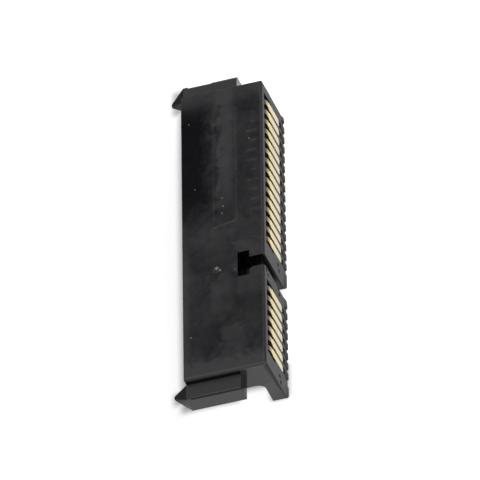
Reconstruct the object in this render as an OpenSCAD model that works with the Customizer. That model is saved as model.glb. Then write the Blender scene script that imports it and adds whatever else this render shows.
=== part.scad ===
// Drive connector with 22 contacts: one moulded housing and 22 stamped contacts.
// A receptacle in the thin body takes the drive's blade; a tongue hanging from the
// other long edge carries the same contacts on its face to the host's socket.
//
// Shapes are drawn from the wide face's far corner: X runs along the contact rows,
// Y from the mating face to the contact face, and Z is 0 on the wide face.
// Depths are counted down from the wide face.

/* [Contact rows] */
// Distance from one contact to the next
pitch = 1.27; // [1.05:0.01:1.6]
// Contacts in the long row
power_count = 15; // [4:1:15]
// Contacts in the short row
signal_count = 7; // [3:1:9]
// Distance between the two rows, in pitches
row_steps = 5; // [5:1:8]
// End wall to the first power contact's middle
far_margin = 1.75; // [1.5:0.05:3]
// Last signal contact's middle to the end wall
near_margin = 3; // [1.5:0.05:5]

/* [Housing] */
// Mating face to contact face
body_w = 8.9; // [8.2:0.1:12]
// Thickness of the flat body
body_t = 3.4; // [3.2:0.05:4.5]
// Thickness of the tongue under the contact face
tongue_t = 1.4; // [1.15:0.05:1.6]
// Wide face to the tongue's lower edge
tongue_h = 6.9; // [6.5:0.1:9]
// How much thicker the tongue is at its lower edge than at its root
tongue_swell = 0.15; // [0.05:0.01:0.3]
// Hollow rounding between the body's underside and the tongue
inner_r = 0.9; // [0.2:0.05:1.5]
// Rounding of the lip's front edge
lip_edge_r = 0.32; // [0.05:0.01:0.5]
// Rounding of the tongue's far lower corner, and of the same corner past the key slot
tip_r = 0.65; // [0.1:0.05:1]
// Rounding of the upright edge at the signal end
end_edge_r = 0.65; // [0.1:0.05:1]
// Rounding of the wide face's edge at the signal end
end_top_r = 0.3; // [0.05:0.05:0.5]
// How far the tongue's signal end tapers in towards its lower edge
end_taper = 0.3; // [0:0.05:0.6]
// Small rounding of the other outer edges
edge_r = 0.15; // [0.05:0.01:0.3]

/* [Contact face] */
// Thickness of the lip over the contacts
lip_t = 0.7; // [0.5:0.05:1]
// Depth of the open trough's lower end below the wide face
trough_end = 3.05; // [2.8:0.05:4]
// Trough's depth behind the contact face, under the lip
trough_depth = 1.3; // [1.2:0.05:1.4]
// Trough's depth at its lower end, where its back slopes out
trough_foot = 0.8; // [0.6:0.05:1]
// How far the trough goes past the middle of a row's last contact, along X
trough_past = 0.95; // [0.6:0.05:1]
// Depth at which a contact's tip turns into the housing
strip_end = 5.45; // [4.5:0.05:5.6]
// Width of the pocket that takes a contact's tip
pocket_w = 0.75; // [0.7:0.01:0.9]
// Deepest point of the tip pocket behind the contact face
pocket_depth = 0.5; // [0.4:0.01:0.6]
// Depth below the wide face at which the tip pocket's ramp starts
pocket_ramp = 5.9; // [5.85:0.01:6]
// Depth below the wide face at which that ramp reaches the contact face
nose_top = 6.2; // [6.1:0.05:6.3]
// How far the nose under each contact, and the toe beside the rows, stand out from the ribs
toe_out = 0.12; // [0.05:0.01:0.2]
// Height of the flat front of noses and toe, under their slope
toe_flat = 0.25; // [0.1:0.05:0.3]
// Start of the toe at the signal end, past the last signal contact's middle, along X
toe_start = 1.45; // [1:0.05:2]
// Radius of the paired pin marks on the plain face beside the rows
pin_r = 0.12; // [0.05:0.01:0.2]
// Depth of the pin marks
pin_depth = 0.15; // [0.05:0.01:0.3]
// Depth of a pair's upper mark below the wide face
pin_z = 4.4; // [3.6:0.1:5.5]
// Distance from a row's inner contact's middle to the nearer mark
pin_gap = 1.35; // [1:0.05:1.5]
// Distance from the last signal contact's middle to the nearer mark
end_pin_gap = 1.6; // [1:0.05:1.8]
// Step from a pair's upper mark to its lower one, along X
pin_step_x = 0.6; // [0.4:0.05:0.8]
// Step from a pair's upper mark to its lower one, along Z
pin_step_z = 0.3; // [0.1:0.05:0.6]

/* [Key slot] */
// Slot's middle, counted from halfway between the two rows
key_shift = 0.49; // [-0.5:0.01:0.6]
// Width of the slot's stem, open on the contact face
stem_w = 1.35; // [0.8:0.05:1.5]
// Width of the slot's head
head_w = 3.1; // [2:0.05:3.6]
// Head's middle, counted from the stem's middle
head_shift = 0.03; // [-0.5:0.01:0.5]
// Distance from the contact face to the head's front
head_front = 1.63; // [1.5:0.01:2]
// Size of the head along Y
head_depth = 1.27; // [0.8:0.01:1.3]
// Flat cut between the head and the stem on the signal side
key_chamfer = 0.3; // [0.1:0.01:0.4]
// Thickness of the floor left under the head
key_floor = 0.5; // [0.3:0.05:1]

/* [Receptacle] */
// Depth of the blade slot behind the mating face
socket_depth = 5; // [4.6:0.1:5.2]
// Height of the blade slot
socket_h = 1.45; // [1.35:0.01:1.6]
// Depth of the blade slot's ceiling below the wide face
socket_top = 1.1; // [1.05:0.01:1.2]
// Blade beyond the outer contact's middle
blade_outer = 0.82; // [0.6:0.01:1]
// Blade beyond the inner contact's middle
blade_inner = 1.97; // [1.9:0.01:2]
// Width of the blade's key leg at the inner end
key_leg_w = 1.15; // [0.8:0.01:1.3]
// Room left round the blade on each side
blade_clear = 0.1; // [0.05:0.01:0.2]
// Lead-in cut at the mouth
mouth_cut = 0.25; // [0.1:0.01:0.35]
// Width of the channel over each spring
channel_w = 0.96; // [0.8:0.01:1]
// Wall left in front of the channels
channel_wall = 0.9; // [0.6:0.05:1]

/* [Guide arms] */
// How far an arm stands out from the end wall
arm_out = 1.85; // [1.2:0.05:2.5]
// Height of an arm
arm_h = 1.95; // [1.2:0.01:2]
// Depth of an arm's top below the wide face
arm_drop = 0.88; // [0.5:0.01:1.2]
// Length of an arm beside the body, counted from the mating face
arm_l = 5.88; // [4:0.01:6.5]
// Length of an arm's nose past the mating face
arm_point = 1.55; // [1:0.05:2]
// Size of the small flat at the nose's end
nose_flat = 0.28; // [0.1:0.02:0.5]
// End wall to the middle of that flat
nose_out = 0.6; // [0.4:0.05:0.9]
// Length of the far arm's thicker root
arm_root_l = 2.9; // [1:0.1:3.5]
// How far the far arm's root stands out past the arm
arm_root_out = 0.15; // [0.05:0.01:0.3]
// Rounding along an arm's upper outer edge
arm_edge_r = 0.25; // [0.05:0.01:0.4]
// Distance from the mating face to the start of that rounding
arm_edge_start = 0.5; // [0:0.1:1]

/* [Contacts] */
// Thickness of the sheet metal
metal_t = 0.2; // [0.12:0.01:0.22]
// Width of the strip on the contact face
strip_w = 0.84; // [0.8:0.01:0.96]
// Width of the run through the wall, of the bend and of the spring's root
neck_w = 0.64; // [0.5:0.01:0.8]
// Depth of the shoulders where the strip takes its full width
shoulder_z = 2.2; // [2:0.05:2.6]
// Width of the spring's free end
spring_tip_w = 0.52; // [0.4:0.01:0.6]
// Width of the strip's tucked tip
strip_tip_w = 0.62; // [0.4:0.01:0.66]
// Gap between the lip and the contacts' run
run_gap = 0.05; // [0.02:0.01:0.1]
// Radius of the bend, at the metal's middle
bend_r = 1.1; // [0.6:0.05:1.1]
// How far the tucked tip goes in, and its length along Z
tuck = 0.24; // [0.1:0.01:0.28]
// How far the spring's crest reaches into the blade slot
crest_in = 0.3; // [0.1:0.01:0.4]
// Distance from the mating face to the crest
crest_back = 1.95; // [1.7:0.05:2.5]
// Clearance between metal and plastic
fit = 0.02; // [0.01:0.005:0.03]

/* [Wide face marks] */
// Radius of the shallow moulding gate mark
gate_r = 0.42; // [0.2:0.01:0.8]
// Depth of the gate mark
gate_depth = 0.06; // [0.02:0.01:0.15]
// Distance from the mating face to the gate mark's middle
gate_y = 3.7; // [2:0.1:5]
// Gate mark's middle along X, counted from the key slot's stem
gate_shift = 0.13; // [-1:0.01:1]
// Radius of the broken-off gate in the middle of the mark
gate_nub_r = 0.14; // [0.05:0.01:0.3]
// How far the broken-off gate stays below the wide face
gate_nub_drop = 0.02; // [0.01:0.01:0.05]

/* [Hidden] */
// Overlap used where two shapes are joined or a cut runs past a face
over = 0.1;
bend_steps = 9;
function two_digits(i) = str(i < 10 ? "0" : "", i);
function power_name(i) = str("power_contact_", two_digits(i));
function signal_name(i) = str("signal_contact_", i);

// Middles of the contacts along X
function power_x(i) = far_margin + (i - 1) * pitch;
function signal_x(i) = power_x(power_count) + (row_steps + i - 1) * pitch;
first_power = power_x(1);
last_power = power_x(power_count);
first_signal = signal_x(1);
last_signal = signal_x(signal_count);
all_x = concat(
    [for (i = [1 : power_count]) power_x(i)],
    [for (i = [1 : signal_count]) signal_x(i)]
);

// Overall length, from the rows and the two margins
body_l = last_signal + near_margin;

// Thickness of the tongue at its lower edge
tongue_foot_t = tongue_t + tongue_swell;

// Key slot along X, and its head along Y
stem_x = (last_power + first_signal) / 2 + key_shift;
stem_x0 = stem_x - stem_w / 2;
stem_x1 = stem_x + stem_w / 2;
head_x0 = stem_x + head_shift - head_w / 2;
head_y1 = body_w - head_front;
head_y0 = head_y1 - head_depth;

// Blade slots along X
power_slot_x0 = first_power - blade_outer - blade_clear;
power_slot_x1 = last_power + blade_inner + blade_clear;
signal_slot_x0 = first_signal - blade_inner - blade_clear;
signal_slot_x1 = last_signal + blade_outer + blade_clear;
socket_bottom = socket_top + socket_h;
socket_mid = socket_top + socket_h / 2;

// Middle of the metal where it runs under the lip, and where it hangs
run_depth = lip_t + run_gap + metal_t / 2;
hang_y = body_w - metal_t / 2;
trough_y = body_w - trough_depth;
trough_knee = run_depth + 2 * metal_t;

// Places and directions

// Moves the drawing so that the origin lies at the middle of the blade slots' mouth
module at_datum() translate([-body_l / 2, 0, socket_mid]) children();

// Draws a Y-Z outline and gives it a length along X
module along_x(length) rotate([90, 0, 90]) linear_extrude(length) children();

// Draws an X-Z outline and gives it a length along Y
module along_y(length) translate([0, length, 0]) rotate([90, 0, 0]) linear_extrude(length) children();

// The sliver between a square corner at the origin and the arc that rounds it. Taken away
// from an outer corner, or added in a hollow one, it leaves a round of radius r.
module corner_sliver(r) difference() {
    translate([-toe_out - over, -toe_out - over]) square(r + toe_out + over);
    translate([r, r]) circle(r, $fn = 48);
}

// Housing

// L-shaped section: the flat body, and the tongue that hangs from its front edge
module section() difference() {
    union() {
        translate([0, -body_t]) square([body_w, body_t]);
        polygon([
            [body_w, 0],
            [body_w, -tongue_h],
            [body_w - tongue_foot_t, -tongue_h],
            [body_w - tongue_t, -body_t],
            [body_w - tongue_t, 0]
        ]);
        translate([body_w - tongue_t, -body_t]) rotate(180) corner_sliver(inner_r);
    }
    translate([body_w, 0]) rotate(180) corner_sliver(lip_edge_r);
    translate([0, 0]) rotate(-90) corner_sliver(edge_r);
    translate([0, -body_t]) corner_sliver(edge_r);
    translate([body_w - tongue_foot_t, -tongue_h]) corner_sliver(edge_r);
}

// Upright edges seen from above, and the tongue's lower corners and both ends seen from the front
module edge_cuts() {
    translate([0, 0, -tongue_h - over]) linear_extrude(tongue_h + 2 * over) {
        translate([body_l, body_w + toe_out]) rotate(180) corner_sliver(end_edge_r);
        translate([0, body_w]) rotate(-90) corner_sliver(edge_r);
        corner_sliver(edge_r);
        translate([body_l, 0]) rotate(90) corner_sliver(edge_r);
    }
    translate([0, body_w - tongue_foot_t - over, 0]) along_y(tongue_foot_t + toe_out + 2 * over) {
        translate([0, -tongue_h]) corner_sliver(tip_r);
        translate([stem_x1, -tongue_h]) corner_sliver(tip_r);
        translate([stem_x0, -tongue_h]) rotate(90) corner_sliver(tip_r);
        translate([body_l - end_taper, -tongue_h]) rotate(90) corner_sliver(edge_r);
    }
    translate([0, -over, 0]) along_y(body_w + toe_out + 2 * over) {
        rotate(-90) corner_sliver(edge_r);
        translate([body_l, 0]) rotate(180) corner_sliver(end_top_r);
        polygon([
            [body_l, -body_t],
            [body_l + over, -body_t],
            [body_l + over, -tongue_h - over],
            [body_l - end_taper, -tongue_h - over],
            [body_l - end_taper, -tongue_h]
        ]);
    }
}

// T shape of the key slot seen from above: a wide head, and a stem that opens on the contact face
module key_outline() {
    translate([head_x0, head_y0]) square([head_w, head_depth]);
    translate([stem_x0, head_y1 - over]) square([stem_w, head_front + toe_out + 2 * over]);
    polygon([
        [stem_x1 - over, head_y1 - over],
        [stem_x1 + key_chamfer, head_y1 - over],
        [stem_x1 + key_chamfer, head_y1],
        [stem_x1, head_y1 + key_chamfer],
        [stem_x1 - over, head_y1 + key_chamfer]
    ]);
}

// Key slot: the head keeps a floor, and the stem goes down through body and tongue
module key_slot() {
    translate([0, 0, -body_t + key_floor]) linear_extrude(body_t - key_floor + over) key_outline();
    translate([0, 0, -tongue_h - over]) linear_extrude(tongue_h + 2 * over) intersection() {
        key_outline();
        translate([head_x0, head_y1]) square([head_w, head_front + toe_out + 2 * over]);
    }
}

// Open trough under the lip, behind the bends of one row
module trough(x0, x1) translate([x0 - pitch / 2, 0, 0]) along_x(x1 - x0 + pitch / 2 + trough_past) polygon([
    [trough_y, -lip_t],
    [body_w + over, -lip_t],
    [body_w + over, -trough_end],
    [body_w - trough_foot, -trough_end],
    [trough_y, -trough_knee]
]);

// Pair of shallow pin marks in the plain part of the contact face
module pin_marks(x) for (step = [0, 1])
    translate([x + pin_step_x * step, body_w - pin_depth, -pin_z - pin_step_z * step])
        rotate([-90, 0, 0]) cylinder(h = pin_depth + over, r = pin_r, $fn = 16);

// Groove that holds one strip flush with the ribs beside it
module strip_groove(x) translate([x - strip_w / 2 - fit, body_w - metal_t - fit, -strip_end - metal_t])
    cube([strip_w + 2 * fit, metal_t + fit + over, strip_end + metal_t - trough_end + over]);

// Pocket for the strip's tip, whose ramp comes out to the nose at the tongue's edge
module tip_pocket(x) translate([x - pocket_w / 2, 0, 0]) along_x(pocket_w) polygon([
    [body_w - pocket_depth, -strip_end + metal_t],
    [body_w + over, -strip_end + metal_t],
    [body_w + over, -nose_top],
    [body_w, -nose_top],
    [body_w - pocket_depth, -pocket_ramp]
]);

// Wedge along the tongue's lower edge from x0 to x1. Its slope starts at the contact face.
module toe(x0, x1) translate([x0, 0, 0]) along_x(x1 - x0) polygon([
    [body_w - over, -nose_top],
    [body_w, -nose_top],
    [body_w + toe_out, -tongue_h + toe_flat],
    [body_w + toe_out, -tongue_h],
    [body_w - over, -tongue_h]
]);

// Toes of the plain parts beside the rows, and a nose under each contact
module toes_and_noses() {
    toe(0, first_power - pitch / 2 - pocket_w / 2);
    toe(last_power + pitch / 2 + pocket_w / 2, first_signal - pitch / 2 - pocket_w / 2);
    toe(last_signal + toe_start, body_l);
    for (x = all_x) toe(x - pocket_w / 2, x + pocket_w / 2);
}

// Slit through the wall behind the trough for one contact's run
module run_slit(x) translate([x - neck_w / 2 - fit, socket_depth - over, -run_depth - metal_t / 2 - fit])
    cube([neck_w + 2 * fit, trough_y - socket_depth + 2 * over, metal_t + 2 * fit]);

// Channel in the blade slot's ceiling, where one spring moves up
module spring_channel(x) translate([x - channel_w / 2, channel_wall, -socket_top - over])
    cube([channel_w, socket_depth - channel_wall, socket_top - lip_t + over]);

// Blade slot with its lead-in, from x0 to x1
module blade_slot(x0, x1) translate([x0, 0, 0]) along_x(x1 - x0) polygon([
    [-over, -socket_top + mouth_cut + over],
    [mouth_cut, -socket_top],
    [socket_depth, -socket_top],
    [socket_depth, -socket_bottom],
    [mouth_cut, -socket_bottom],
    [-over, -socket_bottom - mouth_cut - over]
]);

// Notch through the floor wall for the blade's key leg
module key_leg_notch(x0) translate([x0, -over, -body_t - over])
    cube([key_leg_w, socket_depth + over, body_t - socket_mid + over]);

// Receptacle in the body: two keyed blade slots and the springs' channels
module receptacle() {
    blade_slot(power_slot_x0, power_slot_x1);
    blade_slot(signal_slot_x0, signal_slot_x1);
    key_leg_notch(power_slot_x1 - key_leg_w);
    key_leg_notch(signal_slot_x0);
    for (x = all_x) spring_channel(x);
}

// Square bar drawn outward from the end wall along +X, with its four-sided nose
module arm_bar() {
    translate([-over, 0, -arm_drop - arm_h]) cube([arm_out + over, arm_l, arm_h]);
    hull() {
        translate([0, 0, -arm_drop - arm_h]) cube([arm_out, over, arm_h]);
        translate([nose_out - nose_flat / 2, -arm_point, -arm_drop - (arm_h + nose_flat) / 2])
            cube([nose_flat, over, nose_flat]);
    }
}

// Guide arm at an end wall, with its upper outer edge rounded
module guide_arm() difference() {
    arm_bar();
    translate([arm_out, arm_edge_start, -arm_drop]) along_y(arm_l) rotate(180) corner_sliver(arm_edge_r);
}

// Thicker root on the far arm
module arm_root() translate([arm_out - over, arm_l - arm_root_l, -arm_drop - arm_h])
    cube([arm_root_out + over, arm_root_l, arm_h - arm_edge_r]);

// Shallow round mark of the mould's gate on the wide face, with the broken-off gate in it
module gate_mark() translate([stem_x + gate_shift, gate_y, -gate_depth]) difference() {
    cylinder(h = gate_depth + over, r = gate_r, $fn = 48);
    translate([0, 0, -over]) cylinder(h = gate_depth + over - gate_nub_drop, r = gate_nub_r, $fn = 24);
}

module housing() color("#26272b") at_datum() {
    difference() {
        union() {
            difference() {
                union() {
                    along_x(body_l) section();
                    toes_and_noses();
                }
                edge_cuts();
            }
            translate([body_l, 0, 0]) guide_arm();
            mirror([1, 0, 0]) guide_arm();
            mirror([1, 0, 0]) arm_root();
        }
        key_slot();
        trough(first_power, last_power);
        trough(first_signal, last_signal);
        for (x = all_x) {
            strip_groove(x);
            tip_pocket(x);
            run_slit(x);
        }
        receptacle();
        gate_mark();
        pin_marks(last_power + pin_gap);
        pin_marks(first_signal - pin_gap - pin_step_x);
        pin_marks(last_signal + end_pin_gap);
    }
}

// Contacts

function unit(v) = v / norm(v);
function leftward(v) = [-v[1], v[0]];
function arc(centre, r, from, to, steps) = [
    for (k = [0 : steps])
        let (a = from + (to - from) * k / steps)
            centre + r * [cos(a), sin(a)]
];

// Sideways step from point i of a path to the metal's surface
function surface_step(path, i, half) =
    let (
        last = len(path) - 1,
        back = i == 0 ? path[1] - path[0] : path[i] - path[i - 1],
        ahead = i == last ? back : path[i + 1] - path[i],
        across = leftward(unit(back)),
        middle = unit(across + leftward(unit(ahead)))
    )
    middle * half / (middle * across);

// Outline of bent sheet metal whose middle follows the path
module ribbon(path, thickness) polygon(concat(
    [for (i = [0 : len(path) - 1]) path[i] + surface_step(path, i, thickness / 2)],
    [for (i = [len(path) - 1 : -1 : 0]) path[i] - surface_step(path, i, thickness / 2)]
));

// Middle of one contact's metal, from its tucked tip up the contact face, round the bend,
// through the wall and along the spring to its free end
crest_depth = socket_top + crest_in - metal_t / 2;
contact_path = concat(
    [[hang_y - tuck, -strip_end - tuck], [hang_y, -strip_end]],
    arc([hang_y - bend_r, -run_depth - bend_r], bend_r, 0, 90, bend_steps),
    [
        [socket_depth - metal_t, -run_depth],
        [crest_back + 2 * metal_t, -crest_depth + metal_t / 4],
        [crest_back, -crest_depth],
        [crest_back - 2 * metal_t, -crest_depth + metal_t / 4],
        [channel_wall + 1.5 * metal_t, -run_depth - metal_t / 2]
    ]
);

// Outline of the blank seen from above: narrow at the spring's tip, wider along the run, and
// at the contact face as wide as the strip
module blank_plan() polygon([
    [-spring_tip_w / 2, 0],
    [spring_tip_w / 2, 0],
    [spring_tip_w / 2, crest_back],
    [neck_w / 2, socket_depth - 1],
    [neck_w / 2, trough_y],
    [strip_w / 2, trough_y],
    [strip_w / 2, body_w + over],
    [-strip_w / 2, body_w + over],
    [-strip_w / 2, trough_y],
    [-neck_w / 2, trough_y],
    [-neck_w / 2, socket_depth - 1],
    [-spring_tip_w / 2, crest_back]
]);

// Outline of the strip seen from the front: narrow at the bend, full width from the shoulders
// down, and narrowing to the tucked tip
module blank_front() polygon([
    [-neck_w / 2, 0],
    [neck_w / 2, 0],
    [neck_w / 2, -shoulder_z],
    [strip_w / 2, -shoulder_z - metal_t],
    [strip_w / 2, -strip_end + metal_t],
    [strip_tip_w / 2, -strip_end],
    [strip_tip_w / 2, -tongue_h],
    [-strip_tip_w / 2, -tongue_h],
    [-strip_tip_w / 2, -strip_end],
    [-strip_w / 2, -strip_end + metal_t],
    [-strip_w / 2, -shoulder_z - metal_t],
    [-neck_w / 2, -shoulder_z]
]);

// One stamped and bent contact, with its middle at x
module contact(x) color("#d9cda4") at_datum() translate([x, 0, 0]) intersection() {
    translate([-strip_w / 2, 0, 0]) along_x(strip_w) ribbon(contact_path, metal_t);
    translate([0, 0, -tongue_h]) linear_extrude(tongue_h) blank_plan();
    along_y(body_w + over) blank_front();
}

module power_contact(i) contact(power_x(i));
module signal_contact(i) contact(signal_x(i));

housing();
for (i = [1 : power_count])
    power_contact(i);
for (i = [1 : signal_count])
    signal_contact(i);
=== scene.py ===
import math

import bmesh
import bpy
import numpy as np
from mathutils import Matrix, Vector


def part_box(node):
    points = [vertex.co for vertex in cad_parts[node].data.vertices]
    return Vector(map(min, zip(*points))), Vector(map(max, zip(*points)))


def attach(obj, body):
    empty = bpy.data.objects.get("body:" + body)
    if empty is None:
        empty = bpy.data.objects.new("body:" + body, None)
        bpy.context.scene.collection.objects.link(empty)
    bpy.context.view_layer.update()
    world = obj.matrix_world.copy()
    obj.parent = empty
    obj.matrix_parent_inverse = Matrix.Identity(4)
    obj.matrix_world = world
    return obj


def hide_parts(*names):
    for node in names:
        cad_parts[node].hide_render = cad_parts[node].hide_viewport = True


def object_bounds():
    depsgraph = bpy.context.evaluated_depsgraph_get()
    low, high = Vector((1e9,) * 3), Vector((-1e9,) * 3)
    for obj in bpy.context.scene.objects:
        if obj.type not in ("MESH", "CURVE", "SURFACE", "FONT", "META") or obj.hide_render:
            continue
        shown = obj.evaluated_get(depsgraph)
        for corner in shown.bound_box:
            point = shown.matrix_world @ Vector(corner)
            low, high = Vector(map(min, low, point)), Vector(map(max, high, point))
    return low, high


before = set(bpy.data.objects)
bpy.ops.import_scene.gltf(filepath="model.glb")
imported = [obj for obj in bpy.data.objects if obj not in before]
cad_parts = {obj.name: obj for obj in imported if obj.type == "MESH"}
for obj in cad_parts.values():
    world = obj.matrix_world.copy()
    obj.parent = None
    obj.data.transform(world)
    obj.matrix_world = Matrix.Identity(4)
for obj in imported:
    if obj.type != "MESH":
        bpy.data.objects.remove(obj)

cad_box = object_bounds()
MM = 0.001


# Housing. One black moulding in a glass-filled thermoplastic, with a receptacle in its flat body
# and a ribbed tongue. It comes out of a polished steel mould, so its skin is glossy, and no edge
# is sharper than a few hundredths of a millimetre.

edge_round = 0.03 * MM
edge_segments = 2
weld_gap = 0.0005 * MM
flat_angle = math.radians(0.5)
sharp_angle = math.radians(25)


def moulded_copy(node, name):
    """A copy of a CAD node as a moulding: its triangles are welded and flat ones joined, and a
    narrow bevel rounds each edge that turns by more than sharp_angle."""
    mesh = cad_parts[node].data.copy()
    mesh.name = name
    mesh.materials.clear()
    work = bmesh.new()
    work.from_mesh(mesh)
    bmesh.ops.remove_doubles(work, verts=work.verts, dist=weld_gap)
    bmesh.ops.dissolve_limit(work, angle_limit=flat_angle, verts=work.verts, edges=work.edges)
    for face in work.faces:
        face.smooth = True
    for edge in work.edges:
        edge.smooth = edge.calc_face_angle(0) < sharp_angle
    work.to_mesh(mesh)
    work.free()
    piece = bpy.data.objects.new(name, mesh)
    bpy.context.scene.collection.objects.link(piece)
    bevel = piece.modifiers.new("mould_edges", "BEVEL")
    bevel.width = edge_round
    bevel.segments = edge_segments
    bevel.limit_method = "ANGLE"
    bevel.angle_limit = sharp_angle
    bevel.use_clamp_overlap = True
    shading = piece.modifiers.new("flat_faces_stay_flat", "WEIGHTED_NORMAL")
    shading.mode = "FACE_AREA"
    shading.weight = 100
    shading.thresh = 0.001
    return piece


def srgb(code):
    """An sRGB hex colour as linear red, green, blue and full alpha."""
    parts = np.array([int(code[i:i + 2], 16) for i in (1, 3, 5)]) / 255
    linear = np.where(parts <= 0.04045, parts / 12.92, ((parts + 0.055) / 1.055) ** 2.4)
    return (*linear.tolist(), 1.0)


def add(tree, kind, values):
    """Adds a node. values gives, by name or number, its properties, its inputs' values, and the
    sockets that its inputs are linked to."""
    made = tree.nodes.new(kind)
    for name, value in values.items():
        if isinstance(value, bpy.types.NodeSocket):
            tree.links.new(value, made.inputs[name])
        elif isinstance(name, str) and hasattr(made, name):
            setattr(made, name, value)
        else:
            made.inputs[name].default_value = value
    return made


def empty_material(name):
    """A new material whose node tree holds nothing yet."""
    material = bpy.data.materials.new(name)
    material.use_nodes = True
    material.node_tree.nodes.clear()
    return material


def place_in_mm(tree):
    """The point on the piece in millimetres, as a vector and as its X, Y and Z."""
    metres = add(tree, "ShaderNodeTexCoord", {}).outputs["Object"]
    scaled = add(tree, "ShaderNodeVectorMath", {"operation": "SCALE", 0: metres, "Scale": 1 / MM})
    place = scaled.outputs["Vector"]
    apart = add(tree, "ShaderNodeSeparateXYZ", {"Vector": place})
    return place, *(apart.outputs[axis] for axis in "XYZ")


def total(tree, start, *terms):
    """start plus the sum of the terms. Each term is two factors, and all of them are sockets or
    numbers, so a product alone is a total that starts at 0."""
    for first, second in terms:
        values = {"operation": "MULTIPLY_ADD", 0: first, 1: second, 2: start}
        start = add(tree, "ShaderNodeMath", values).outputs["Value"]
    return start


def zone(tree, *bands):
    """1 where every band's value lies between its low and high, falling smoothly to 0 over its
    soft width outside them. Each band is (value, low, high, soft)."""
    inside = 1.0
    for value, low, high, soft in bands:
        for outer, limit in ((low - soft, low), (high + soft, high)):
            step = add(tree, "ShaderNodeMapRange", {"interpolation_type": "SMOOTHSTEP",
                                                    "From Min": outer, "From Max": limit,
                                                    "Value": value})
            inside = total(tree, 0.0, (inside, step.outputs["Result"]))
    return inside


def spot(tree, place, centre, radius):
    """1 in the inner half of a round spot, falling to 0 at its radius. Sizes are in mm."""
    away = add(tree, "ShaderNodeVectorMath", {"operation": "DISTANCE", 0: place, 1: centre})
    fall = add(tree, "ShaderNodeMapRange", {"From Min": radius, "From Max": radius / 2,
                                            "Value": away.outputs["Value"]})
    return fall.outputs["Result"]


# Places on the housing, in mm: the faces, and the middles of each row's first and last contacts.
wide_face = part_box("housing")[1].z / MM
contact_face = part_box("power_contact_01")[1].y / MM
pitch = 1.27
strip_half_width = 0.42
row_ends = (("power_contact_01", "power_contact_15"), ("signal_contact_1", "signal_contact_7"))
contact_rows = [sorted(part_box(node)[0].x / MM + strip_half_width for node in ends) for ends in row_ends]

# Pairs of round pin marks stand in the plain parts of the contact face, in mm. Three pairs are
# moulded a gap from a row's end, each with its lower mark a step further along X. One more pair
# of dull spots is beside the key slot, at these X and Z.
pin_depth = 4.4
pin_step_x = 0.6
pin_step_z = 0.3
pin_spot = 0.3
row_end_gaps = (("power_contact_15", 1.35), ("signal_contact_1", -1.95), ("signal_contact_7", 1.6))
slot_spots = ((5.9, 1.17), (6.29, 0.71))
pin_marks = [(spot_x, contact_face, spot_z) for spot_x, spot_z in slot_spots]
for node, gap in row_end_gaps:
    pin_x = (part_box(node)[0].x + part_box(node)[1].x) / 2 / MM + gap
    pin_marks += [(pin_x, contact_face, wide_face - pin_depth),
                  (pin_x + pin_step_x, contact_face, wide_face - pin_depth - pin_step_z)]

# Marks of use and of moulding on the wide face, in mm. A grain of dust is ((X, Y), radius). The
# flow marks are short dashes near the contact face's edge, at the contacts' pitch.
dust = (((-14.47, 0.89), 0.08), ((-11.01, 7.43), 0.1), ((-5.8, 1.49), 0.08), ((-4.0, 4.41), 0.1),
        ((-2.94, 4.51), 0.1), ((-2.07, 4.39), 0.09), ((4.85, 3.72), 0.24), ((5.2, 4.08), 0.17),
        ((5.46, 5.74), 0.08), ((13.06, 0.89), 0.1))
first_flow_mark = -15.77
flow_mark_reach = 0.24
flow_mark_core = 0.08
cloud_size = 3.2
smear_size = 1.1
grain_size = 0.14
ragged_by = 1.2
pad_end_slant = 0.185
wave_depth = 0.012
grain_depth = 0.0015

# Colours, and the shares of haze and painted sheen, and of painted brown reflection, that the parts add or
# take away.
resin_black = "#08090e"
# The grey is partly a haze left by handling and partly painted sheen.
haze_and_sheen_grey = "#3e3e40"
dust_grey = "#8e908e"
# Painted reflection of the gold on the plastic beside the contacts:
gold_reflection_brown = "#432b0c"
smear_haze = 0.5
# The far end gets painted sheen, counted with the haze:
far_end_painted_sheen = 0.4
# Painted light on the faces below the wide face that look up:
lower_top_painted_light = 0.95
flow_mark_haze = 0.35
# Share of the haze and painted sheen taken away in the darker middle by the long row's mating edge:
darker_by_mating_edge_share = 0.95
gold_reflection_share = 0.7

# Roughness of the polished skin, and what the haze, the grain and the dull places add to it.
polished_rough = 0.15
haze_rough = 0.2
grain_rough = 0.06
face_rough = 0.25
pin_rough = 0.5


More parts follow.
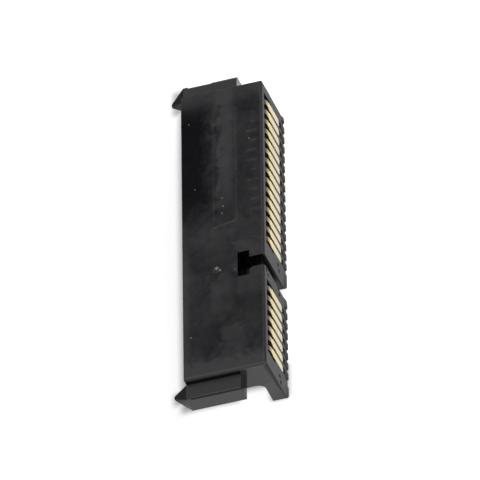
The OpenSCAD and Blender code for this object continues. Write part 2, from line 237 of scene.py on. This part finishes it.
def black_moulding():
    """Glossy black thermoplastic. The resin is almost black, and the eye sees mostly what its skin
    mirrors. A grey in clouds lies on the faces that look up, partly a haze left by handling and
    partly painted sheen. It is painted thinnest by the long row's mating edge and lighter at both
    ends, with grains of dust, the faint outline of a pad in painted highlights, and flow marks.
    Below the wide face, what looks up gets painted light, and the rounded edge at the signal end a
    painted highlight. The contact face is duller, and brown beside the contacts, a painted
    reflection of the gold."""
    material = empty_material("black_moulded_thermoplastic")
    tree = material.node_tree
    place, x, y, z = place_in_mm(tree)
    cloud = add(tree, "ShaderNodeTexNoise", {"Scale": 1 / cloud_size, "Detail": 4.0, "Roughness": 0.55,
                                             "Vector": place}).outputs["Fac"]
    smear = add(tree, "ShaderNodeTexNoise", {"Scale": 1 / smear_size, "Detail": 2.0, "Roughness": 0.45,
                                             "Distortion": 0.8, "Vector": place}).outputs["Fac"]
    grain = add(tree, "ShaderNodeTexNoise", {"Scale": 1 / grain_size, "Detail": 3.0, "Roughness": 0.65,
                                             "Vector": place}).outputs["Fac"]

    # A zone measured with ragged_x or ragged_y has an edge that wanders with the smears.
    wander = add(tree, "ShaderNodeMapRange", {"To Min": -ragged_by, "To Max": ragged_by, "Value": smear})
    ragged_x = total(tree, x, (wander.outputs["Result"], 1.0))
    ragged_y = total(tree, y, (wander.outputs["Result"], 1.0))
    pad_end = total(tree, x, (y, pad_end_slant))
    normal = add(tree, "ShaderNodeNewGeometry", {}).outputs["Normal"]
    facing_up = add(tree, "ShaderNodeSeparateXYZ", {"Vector": normal}).outputs["Z"]
    looks_up = zone(tree, (facing_up, 0.97, 2.0, 0.08))
    on_top = add(tree, "ShaderNodeMapRange", {"From Min": wide_face - 0.08, "From Max": wide_face - 0.01,
                                              "Value": z}).outputs["Result"]
    # Painted sheen: the far end is painted lighter, on the wide face and on the faces below it that look
    # up.
    far_end = zone(tree, (x, -19.0, -17.6, 2.0))
    # Painted darker: less sheen in the middle by the long row's mating edge.
    darker_by_mating_edge = zone(tree, (ragged_x, -14.0, -5.5, 5.0), (ragged_y, -1.0, 1.8, 2.4))

    # The clouds of haze and painted sheen, then what each zone of the wide face adds to them: its amount,
    # and its bands.
    haze_and_sheen = add(tree, "ShaderNodeMapRange", {"From Min": 0.3, "From Max": 0.7,
                                            "To Min": 0.05, "To Max": 0.37,
                                            "Value": cloud}).outputs["Result"]
    haze_and_sheen = total(tree, haze_and_sheen, (smear, smear_haze))
    haze_and_sheen = total(tree, 0.0, (haze_and_sheen, total(tree, 1.0, (darker_by_mating_edge, -darker_by_mating_edge_share))))
    haze_and_sheen = total(tree, haze_and_sheen, (far_end, far_end_painted_sheen))
    haze_and_sheen_zones = (
        # Painted sheen: the signal end, and the mating edge
        (1.0, (ragged_x, 18.2, 20.0, 2.8)),
        (0.3, (y, -1.0, 0.35, 0.7), (x, 2.0, 19.0, 4.0)),
        # The pad: its dull side, and painted highlights on its two long edges and its slanting end
        (0.42, (ragged_y, 4.6, 5.2, 0.9), (x, -16.6, -6.0, 4.0)),
        (0.17, (y, 3.45, 3.55, 0.1), (x, -15.3, -1.1, 0.4)),
        (0.17, (y, 5.9, 6.0, 0.1), (x, -15.3, -1.1, 0.4)),
        (0.5, (pad_end, 0.24, 0.34, 0.12), (y, 3.4, 5.75, 0.15)),
        # Finger marks
        (0.3, (ragged_x, 12.95, 15.55, 1.0), (ragged_y, 4.6, 6.2, 0.8)),
        (0.25, (ragged_x, 6.5, 10.0, 1.0), (ragged_y, 3.4, 4.9, 0.8)),
        (0.25, (ragged_x, 2.5, 8.5, 1.0), (ragged_y, 6.1, 9.5, 0.8)),
        (0.2, (ragged_x, -0.8, 1.2, 1.0), (ragged_y, 5.8, 9.5, 0.8)),
        (0.12, (ragged_x, 0.6, 2.2, 1.0), (ragged_y, 1.2, 4.4, 0.8)))
    for amount, *bands in haze_and_sheen_zones:
        haze_and_sheen = total(tree, haze_and_sheen, (zone(tree, *bands), amount))

    # The flow marks repeat at the contacts' pitch, and show where the clouds are thick.
    along_row = total(tree, -first_flow_mark, (x, 1.0))
    to_mark = add(tree, "ShaderNodeMath", {"operation": "PINGPONG", 0: along_row, 1: pitch / 2})
    flow_mark = add(tree, "ShaderNodeMapRange", {"From Min": flow_mark_reach, "From Max": flow_mark_core,
                                                 "To Max": flow_mark_haze,
                                                 "Value": to_mark.outputs["Value"]})
    shown = zone(tree, (ragged_y, 7.6, 8.1, 0.35), (cloud, 0.48, 1.0, 0.14), (x, -18.0, -1.0, 0.5))
    haze_and_sheen = total(tree, haze_and_sheen, (flow_mark.outputs["Result"], shown))

    # Below the wide face, what looks up gets painted light through the haze, and the rounded edge at the
    # signal end gets a painted highlight.
    end_edge = zone(tree, (x, 17.97, 18.3, 0.05), (z, 1.5, 2.0, 0.1))
    lower_top = total(tree, looks_up, (looks_up, total(tree, 0.0, (on_top, -1.0))))
    lower_painted_light = total(tree, lower_top_painted_light, (far_end, far_end_painted_sheen))
    haze_and_sheen = total(tree, end_edge, (haze_and_sheen, on_top), (lower_top, lower_painted_light))

    # Colour: the resin under its haze and painted sheen, the grains on it, and a painted brown reflection
    # of the gold by each row's contacts.
    grain_spots = [spot(tree, place, (*centre, wide_face), radius) for centre, radius in dust]
    grains = total(tree, 0.0, *((one, 1.0) for one in grain_spots))
    # Painted reflection: the plastic beside each row's contacts is tinted brown, as by the gold's light.
    near_front = (y, contact_face - 1.05, contact_face + 0.2, 0.15)
    gold_reflection_rows = [zone(tree, (z, -2.6, 0.4, 1.0), near_front, (x, *row, 0.6)) for row in contact_rows]
    gold_reflection = total(tree, 0.0, *((row, gold_reflection_share) for row in gold_reflection_rows))
    resin = add(tree, "ShaderNodeMixRGB", {"Color1": srgb(resin_black), "Color2": srgb(haze_and_sheen_grey),
                                           "Fac": haze_and_sheen})
    for code, share in ((dust_grey, grains), (gold_reflection_brown, gold_reflection)):
        resin = add(tree, "ShaderNodeMixRGB", {"Color1": resin.outputs["Color"], "Color2": srgb(code),
                                               "Fac": share})

    # Gloss: polished resin, roughened a little by haze and grain, and more on the contact face
    # and round its pin marks.
    capped_haze = add(tree, "ShaderNodeMath", {"operation": "MINIMUM", 0: haze_and_sheen, 1: 1.0}).outputs["Value"]
    dull_face = zone(tree, (y, contact_face - 0.2, contact_face + 0.2, 0.1))
    pin_spots = [spot(tree, place, mark, pin_spot) for mark in pin_marks]
    rough = total(tree, polished_rough, (capped_haze, haze_rough), (grain, grain_rough),
                  (dull_face, face_rough), *((one, pin_rough) for one in pin_spots))
    waves = add(tree, "ShaderNodeBump", {"Strength": 1.0, "Distance": wave_depth * MM, "Height": smear})
    skin = add(tree, "ShaderNodeBump", {"Strength": 1.0, "Distance": grain_depth * MM, "Height": grain,
                                        "Normal": waves.outputs["Normal"]})
    shader = add(tree, "ShaderNodeBsdfPrincipled", {"IOR": 1.5, "Base Color": resin.outputs["Color"],
                                                    "Roughness": rough, "Normal": skin.outputs["Normal"]})
    add(tree, "ShaderNodeOutputMaterial", {"Surface": shader.outputs["BSDF"]})
    return material


housing = moulded_copy("housing", "housing_moulding")
housing.data.materials.append(black_moulding())
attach(housing, "root")
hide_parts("housing")


# Contacts. Each is stamped from 0.2 mm copper alloy, plated with a thin pale gold, and bent: its
# tip is tucked into the tongue, the strip lies in its groove, turns under the lip, and ends as a
# spring in the receptacle.

metal_t = 0.2 * MM
metal_edge = 0.045 * MM
strip_half = strip_half_width * MM
strip_tip_half = 0.31 * MM
neck_half = 0.28 * MM
spring_tip_half = 0.26 * MM
spring_taper = 1.0 * MM
bend_radius = 1.1 * MM
tuck = 0.24 * MM
tuck_ease = 1.5
strip_foot = 5.45 * MM
run_depth = 0.85 * MM
socket_depth = 5.0 * MM
shoulder_depth = 2.2 * MM
crest_y = 1.95 * MM
crest_depth = 1.3 * MM
spring_start_y = 1.2 * MM

# How many points each stretch of a contact has, and each corner of its section.
tip_points = 5
strip_points = 12
shoulder_points = 5
neck_points = 3
bend_points = 13
run_points = 8
spring_points = 22
corner_points = 5


def contact_line(face_y, top_z):
    """Middle line of a contact in the Y-Z plane, from its tucked tip to the spring's end: straight
    stretches, and a quarter circle under the lip. Returns the points, and their half widths."""
    hang_y = face_y - metal_t / 2
    wide_z = top_z + (run_depth - metal_t / 2)
    run_z = wide_z - run_depth
    foot_z = wide_z - strip_foot
    shoulder_z = wide_z - shoulder_depth
    knee = np.linspace(0, 1, tip_points)[:, None] ** tuck_ease
    tip = np.array([hang_y - tuck, foot_z - tuck]) * (1 - knee) + np.array([hang_y, foot_z]) * knee
    strip_z = np.concatenate([np.linspace(foot_z, shoulder_z - metal_t, strip_points)[1:],
                              np.linspace(shoulder_z - metal_t, shoulder_z, shoulder_points)[1:],
                              np.linspace(shoulder_z, run_z - bend_radius, neck_points)[1:]])
    strip = np.column_stack([np.full(len(strip_z), hang_y), strip_z])
    turn = np.radians(np.linspace(0, 90, bend_points)[1:])
    bend = np.column_stack([hang_y - bend_radius + bend_radius * np.cos(turn),
                            run_z - bend_radius + bend_radius * np.sin(turn)])
    spring_root_y = socket_depth - metal_t
    run_y = np.linspace(hang_y - bend_radius, spring_root_y, run_points)[1:]
    run = np.column_stack([run_y, np.full(len(run_y), run_z)])
    spring_y = np.linspace(spring_root_y, spring_start_y, spring_points)[1:]
    to_crest = np.clip((spring_root_y - spring_y) / (spring_root_y - crest_y), 0, 1)
    past_crest = np.clip((crest_y - spring_y) / (crest_y - spring_start_y), 0, 1)
    drop = (crest_depth - run_depth) * to_crest
    lift = (crest_depth - run_depth - metal_t / 2) * past_crest
    spring = np.column_stack([spring_y, run_z - drop + lift])
    line = np.vstack([tip, strip, bend, run, spring])
    spring_half = np.interp(line[:, 0], [crest_y, socket_depth - spring_taper],
                            [spring_tip_half, neck_half])
    hanging_half = np.interp(line[:, 1], [foot_z, foot_z + metal_t, shoulder_z - metal_t, shoulder_z],
                             [strip_tip_half, strip_half, strip_half, neck_half])
    return line, np.where(line[:, 1] < shoulder_z, hanging_half, spring_half)


def contact_mesh(name, middle_x, face_y, top_z):
    """A rounded rectangle carried along the contact's middle line. The grid's first parameter runs
    along the line and its second round the section, and both ends are closed."""
    line, half = contact_line(face_y, top_z)
    ahead = np.gradient(line, axis=0)
    ahead /= np.linalg.norm(ahead, axis=1)[:, None]
    across = np.column_stack([-ahead[:, 1], ahead[:, 0]])
    corner = np.radians(np.linspace(0, 90, corner_points))
    thick = metal_t / 2 - metal_edge
    sides = []
    for turn, (sx, sy) in enumerate(((1, 1), (-1, 1), (-1, -1), (1, -1))):
        angle = corner + math.pi / 2 * turn
        sides.append(np.column_stack([np.full(len(corner), sx), metal_edge * np.cos(angle),
                                      sy * thick + metal_edge * np.sin(angle)]))
    section = np.vstack(sides)
    around = len(section)
    wide = section[:, 0] * (half[:, None] - metal_edge) + section[:, 1]
    deep = np.broadcast_to(section[:, 2], wide.shape)
    points = np.empty((*wide.shape, 3))
    points[..., 0] = middle_x + wide
    points[..., 1] = line[:, None, 0] + deep * across[:, None, 0]
    points[..., 2] = line[:, None, 1] + deep * across[:, None, 1]
    rows, cols = np.meshgrid(np.arange(len(line) - 1), np.arange(around), indexing="ij")
    after = (cols + 1) % around
    quads = np.stack([rows * around + cols, rows * around + after,
                      (rows + 1) * around + after, (rows + 1) * around + cols], axis=-1).reshape(-1, 4)
    last = (len(line) - 1) * around
    faces = quads.tolist() + [list(range(around))[::-1], list(range(last, last + around))]
    mesh = bpy.data.meshes.new(name)
    mesh.from_pydata(points.reshape(-1, 3).tolist(), [], faces)
    work = bmesh.new()
    work.from_mesh(mesh)
    bmesh.ops.recalc_face_normals(work, faces=work.faces)
    for face in work.faces:
        face.smooth = len(face.verts) == 4
    work.to_mesh(mesh)
    work.free()
    return mesh


# Sizes on the metal in mm. The rolling lines run along the strip, so their pattern is stretched
# in Y and Z.
rolling_line = 0.07
rolling_stretch = 0.06
rolling_depth = 0.0015
wear_patch = 0.9
plated_gold = "#ffeeb2"
worn_gold = "#f4f0e4"
# Painted shade under the lip:
lip_shade_brown = "#655d4f"


def plated_contact():
    """Thin gold over nickel on a rolled alloy: pale yellow and satin, with fine rolling lines along
    the strip. It is paler in patches where the host's contacts rub, and painted a darker brown under
    the lip, where the lip shades it. The rolling lines are drawn 0.07 mm wide, coarser than real ones, so
    that they show."""
    material = empty_material("gold_plated_contact_alloy")
    tree = material.node_tree
    place, _, y, z = place_in_mm(tree)
    drawn = add(tree, "ShaderNodeMapping", {"Scale": (1.0, rolling_stretch, rolling_stretch),
                                            "Vector": place})
    lines = add(tree, "ShaderNodeTexNoise", {"Scale": 1 / rolling_line, "Detail": 3.0,
                                             "Vector": drawn.outputs["Vector"]}).outputs["Fac"]
    patch = add(tree, "ShaderNodeTexNoise", {"Scale": 1 / wear_patch, "Detail": 2.0,
                                             "Vector": place}).outputs["Fac"]
    down_strip = add(tree, "ShaderNodeMapRange", {"From Min": -0.6, "From Max": -3.0, "To Max": 1.7,
                                                  "Value": z}).outputs["Result"]
    # Painted shade: by the bend, under the lip, the gold is darkened to brown.
    near_bend = add(tree, "ShaderNodeMapRange", {"From Min": -0.25, "From Max": 0.4,
                                                 "Value": z}).outputs["Result"]
    rubbed = total(tree, 0.0, (down_strip, patch))
    lip_shade = total(tree, 0.0, (near_bend, zone(tree, (y, 6.5, 10.0, 0.5))))
    gold = add(tree, "ShaderNodeMixRGB", {"Color1": srgb(plated_gold), "Color2": srgb(worn_gold),
                                          "Fac": rubbed})
    gold = add(tree, "ShaderNodeMixRGB", {"Color1": gold.outputs["Color"], "Color2": srgb(lip_shade_brown),
                                          "Fac": lip_shade})
    rough = add(tree, "ShaderNodeMapRange", {"To Min": 0.24, "To Max": 0.42, "Value": lines})
    bump = add(tree, "ShaderNodeBump", {"Strength": 1.0, "Distance": rolling_depth * MM, "Height": lines})
    shader = add(tree, "ShaderNodeBsdfPrincipled", {"Metallic": 1.0, "Base Color": gold.outputs["Color"],
                                                    "Roughness": rough.outputs["Result"],
                                                    "Normal": bump.outputs["Normal"]})
    add(tree, "ShaderNodeOutputMaterial", {"Surface": shader.outputs["BSDF"]})
    return material


contact_gold = plated_contact()
contact_nodes = sorted(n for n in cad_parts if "contact" in n)
for node in contact_nodes:
    low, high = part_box(node)
    name = node + "_metal"
    contact = bpy.data.objects.new(name, contact_mesh(name, (low.x + high.x) / 2, high.y, high.z))
    bpy.context.scene.collection.objects.link(contact)
    contact.data.materials.append(contact_gold)
    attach(contact, "root")
    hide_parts(node)


# Card. A matt white paper card lies under the part and fills the view. It is 0.02 mm below the
# part's lowest faces, so that they don't coincide, and it shows from above only.

card_half = 160 * MM
card_gap = 0.02 * MM
card_z = cad_box[0].z - card_gap
paper_white = "#f4f4f4"
white_light = "#ffffff"
table_glow = 0.15

# Where the part shades the card for the camera, in mm: X from and to, then Y from and to, for the
# body, the near arm, its nose, the tongue's near foot and the far arm's nose.
shade_soft = 1.2
shade_depth = 0.62
shaded = ((-22.0, 15.3, -2.0, 6.8),
          (14.0, 16.45, -2.0, 3.2),
          (14.9, 15.3, -2.8, -1.0),
          (14.0, 17.4, 7.6, 8.8),
          (-24.2, -22.2, -2.65, 0.0))


def white_card():
    """Matt white card. What the camera and reflections see gets a share of its own light, so that
    the card is white where it is lit and grey in the narrow shade beside the part. Reflections
    see it dim past the contact face's side, and as a dark table past the mating face's side."""
    material = empty_material("white_paper_card")
    tree = material.node_tree
    _, x, y, _ = place_in_mm(tree)
    ray = add(tree, "ShaderNodeLightPath", {}).outputs
    mirrored = add(tree, "ShaderNodeMath", {"operation": "MAXIMUM", 0: ray["Is Glossy Ray"],
                                            1: ray["Is Transmission Ray"]}).outputs["Value"]
    shade = 0.0
    for left, right, near, wide in shaded:
        patch = zone(tree, (x, left, right, shade_soft), (y, near, wide, shade_soft))
        shade = add(tree, "ShaderNodeMath", {"operation": "MAXIMUM", 0: shade, 1: patch}).outputs["Value"]
    seen = add(tree, "ShaderNodeMapRange", {"From Min": -3.0, "From Max": 1.5, "To Min": 0.50,
                                            "To Max": 0.86, "Value": y}).outputs["Result"]
    seen = total(tree, seen, (shade, -shade_depth))
    lit = add(tree, "ShaderNodeMapRange", {"From Min": 7.5, "From Max": 10.0, "To Min": 0.74,
                                           "To Max": 0.32, "Value": y}).outputs["Result"]
    level = total(tree, 0.0, (ray["Is Camera Ray"], seen), (mirrored, lit))
    glow = add(tree, "ShaderNodeEmission", {"Color": srgb(white_light), "Strength": level})
    paper = add(tree, "ShaderNodeBsdfDiffuse", {"Color": srgb(paper_white)})
    lit_paper = add(tree, "ShaderNodeAddShader", {0: paper.outputs["BSDF"], 1: glow.outputs["Emission"]})
    past = add(tree, "ShaderNodeMapRange", {"From Min": -2.0, "From Max": -6.0, "Value": y})
    table = add(tree, "ShaderNodeEmission", {"Color": srgb(white_light), "Strength": table_glow})
    mirrored_past = total(tree, 0.0, (mirrored, past.outputs["Result"]))
    shown = add(tree, "ShaderNodeMixShader", {0: mirrored_past, 1: lit_paper.outputs["Shader"],
                                              2: table.outputs["Emission"]})
    under = add(tree, "ShaderNodeNewGeometry", {}).outputs["Backfacing"]
    clear = add(tree, "ShaderNodeBsdfTransparent", {})
    one_sided = add(tree, "ShaderNodeMixShader", {0: under, 1: shown.outputs["Shader"],
                                                  2: clear.outputs["BSDF"]})
    add(tree, "ShaderNodeOutputMaterial", {"Surface": one_sided.outputs["Shader"]})
    return material


corners = [(x * card_half, y * card_half, card_z) for x, y in ((-1, -1), (1, -1), (1, 1), (-1, 1))]
card_mesh = bpy.data.meshes.new("card")
card_mesh.from_pydata(corners, [], [(0, 1, 2, 3)])
card_mesh.materials.append(white_card())
card = bpy.data.objects.new("card", card_mesh)
bpy.context.scene.collection.objects.link(card)


# Light tent. Soft white cloth all round the part, lit from outside, so that it is dim near the
# table and bright above, with a lit panel at the side that the contact face looks at and a dark
# opening where the wide face mirrors the room.

# Each area: its direction, the angles in degrees where it is full and where it ends, and how much
# it adds to the cloth's brightness.
tent_areas = (((-0.605, 0.754, 0.30), 9, 17, 0.6),
              ((-0.1, 0.1, 1.0), 20, 45, 0.55),
              ((-0.605, -0.254, 0.754), 11, 26, -0.66),
              ((-0.605, -0.787, 0.117), 10, 20, -0.08))


def tent_light():
    """The tent's brightness by direction: dim at the table's level, brighter with height, and
    changed by soft-edged round areas. The camera sees it white where it looks past the card."""
    world = bpy.data.worlds.new("light_tent")
    world.use_nodes = True
    tree = world.node_tree
    tree.nodes.clear()
    toward = add(tree, "ShaderNodeTexCoord", {}).outputs["Generated"]
    height = add(tree, "ShaderNodeSeparateXYZ", {"Vector": toward}).outputs["Z"]
    level = add(tree, "ShaderNodeMapRange", {"From Min": 0.0, "From Max": 0.5, "To Min": 0.12,
                                             "To Max": 0.6, "Value": height}).outputs["Result"]
    for centre, inner, outer, amount in tent_areas:
        axis = np.array(centre) / np.linalg.norm(centre)
        near = add(tree, "ShaderNodeVectorMath", {"operation": "DOT_PRODUCT", 0: toward, 1: axis.tolist()})
        area = add(tree, "ShaderNodeMapRange", {"interpolation_type": "SMOOTHSTEP",
                                                "From Min": math.cos(math.radians(outer)),
                                                "From Max": math.cos(math.radians(inner)),
                                                "Value": near.outputs["Value"]})
        level = total(tree, level, (area.outputs["Result"], amount))
    ray = add(tree, "ShaderNodeLightPath", {}).outputs
    level = add(tree, "ShaderNodeMath", {"operation": "MAXIMUM", 0: level, 1: ray["Is Camera Ray"]})
    tent = add(tree, "ShaderNodeBackground", {"Color": srgb(white_light),
                                              "Strength": level.outputs["Value"]})
    add(tree, "ShaderNodeOutputWorld", {"Surface": tent.outputs["Background"]})
    return world


bpy.context.scene.world = tent_light()


# Camera. It stands at the photograph's angle, far away behind a long lens, so that the part's
# long edges stay nearly parallel, and it is turned about its own axis as the photograph is.

aim = np.array([1.909, 6.302, 1.825]) * MM
camera_distance = 1153.2 * MM
camera_azimuth = math.radians(22.7624)
camera_elevation = math.radians(48.9728)
camera_roll = math.radians(29.8766)
lens_mm = 844.5
sensor_mm = 36.0
clip_near = 50 * MM
clip_far = 20000 * MM

toward = np.array([math.cos(camera_azimuth) * math.cos(camera_elevation),
                   math.sin(camera_azimuth) * math.cos(camera_elevation),
                   math.sin(camera_elevation)])
level_right = np.array([-math.sin(camera_azimuth), math.cos(camera_azimuth), 0.0])
level_up = np.cross(toward, level_right)
right = level_right * math.cos(camera_roll) - level_up * math.sin(camera_roll)
up = level_up * math.cos(camera_roll) + level_right * math.sin(camera_roll)
lens = bpy.data.cameras.new("camera")
lens.lens = lens_mm
lens.sensor_width = sensor_mm
lens.clip_start = clip_near
lens.clip_end = clip_far
camera = bpy.data.objects.new("camera", lens)
bpy.context.scene.collection.objects.link(camera)
turn = Matrix(np.column_stack([right, up, toward]).tolist()).to_4x4()
camera.matrix_world = Matrix.Translation((aim + toward * camera_distance).tolist()) @ turn
bpy.context.scene.camera = camera
bpy.context.scene.view_settings.view_transform = "Standard"
